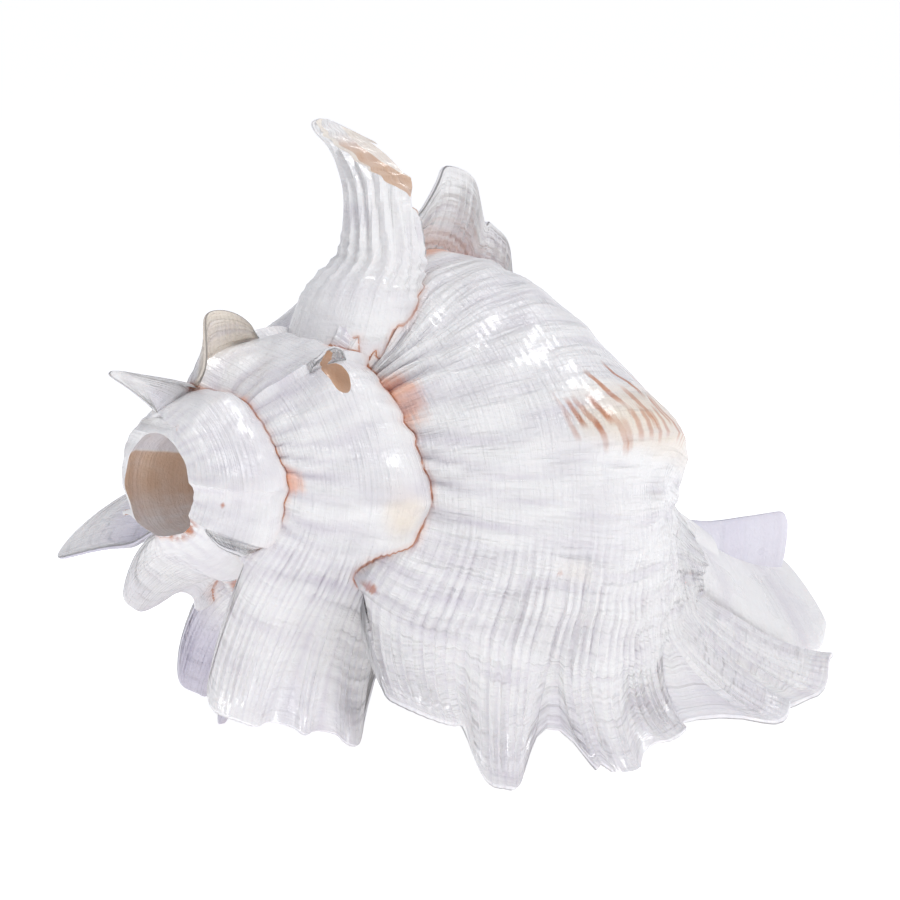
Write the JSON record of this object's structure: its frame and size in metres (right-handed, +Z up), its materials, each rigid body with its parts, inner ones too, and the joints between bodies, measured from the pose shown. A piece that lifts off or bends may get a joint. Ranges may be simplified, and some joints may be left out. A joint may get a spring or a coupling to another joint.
{
  "type": "murex shell",
  "caption": "A free-standing murex sea shell with a low spiral of leafy, spined varices, an oval aperture, a broad canal and a broken apex; it lies on the tips of its fronds.",
  "frame": {"origin": "centre of the bounding box in X and Y, on the ground under the shell", "axes": "+X runs along the shell from the broken apex to the canal, +Z is up, and the aperture faces down and towards +Y"},
  "size_m": [0.1938, 0.114, 0.1342],
  "materials": {
    "shell": "satin"
  },
  "bodies": {
    "root": {"murex_shell": "shell"}
  },
  "joints": []
}
